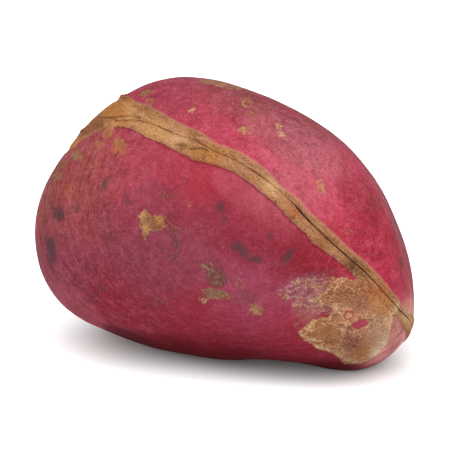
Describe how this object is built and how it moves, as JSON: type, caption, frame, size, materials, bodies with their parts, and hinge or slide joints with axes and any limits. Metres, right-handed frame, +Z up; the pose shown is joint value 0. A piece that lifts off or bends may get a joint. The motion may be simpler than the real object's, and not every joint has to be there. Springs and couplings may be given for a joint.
{
  "type": "red kola nut",
  "caption": "Whole peeled kola nut: plump two-lobed seed with a blunt end, a narrower tip and a cork-rimmed seam running round it, resting on a worn flat spot.",
  "frame": {"origin": "middle of the nut's outline seen from above, at the height of the flat spot that it rests on", "axes": "+X along the nut's length towards the narrower tip, +Z up, -Y towards the side where the seam is in view"},
  "size_m": [0.0422, 0.032, 0.031],
  "materials": {
    "kola_skin": "satin crimson skin with tan cork along the seam"
  },
  "bodies": {
    "root": {"kola_nut": "kola_skin"}
  },
  "joints": []
}
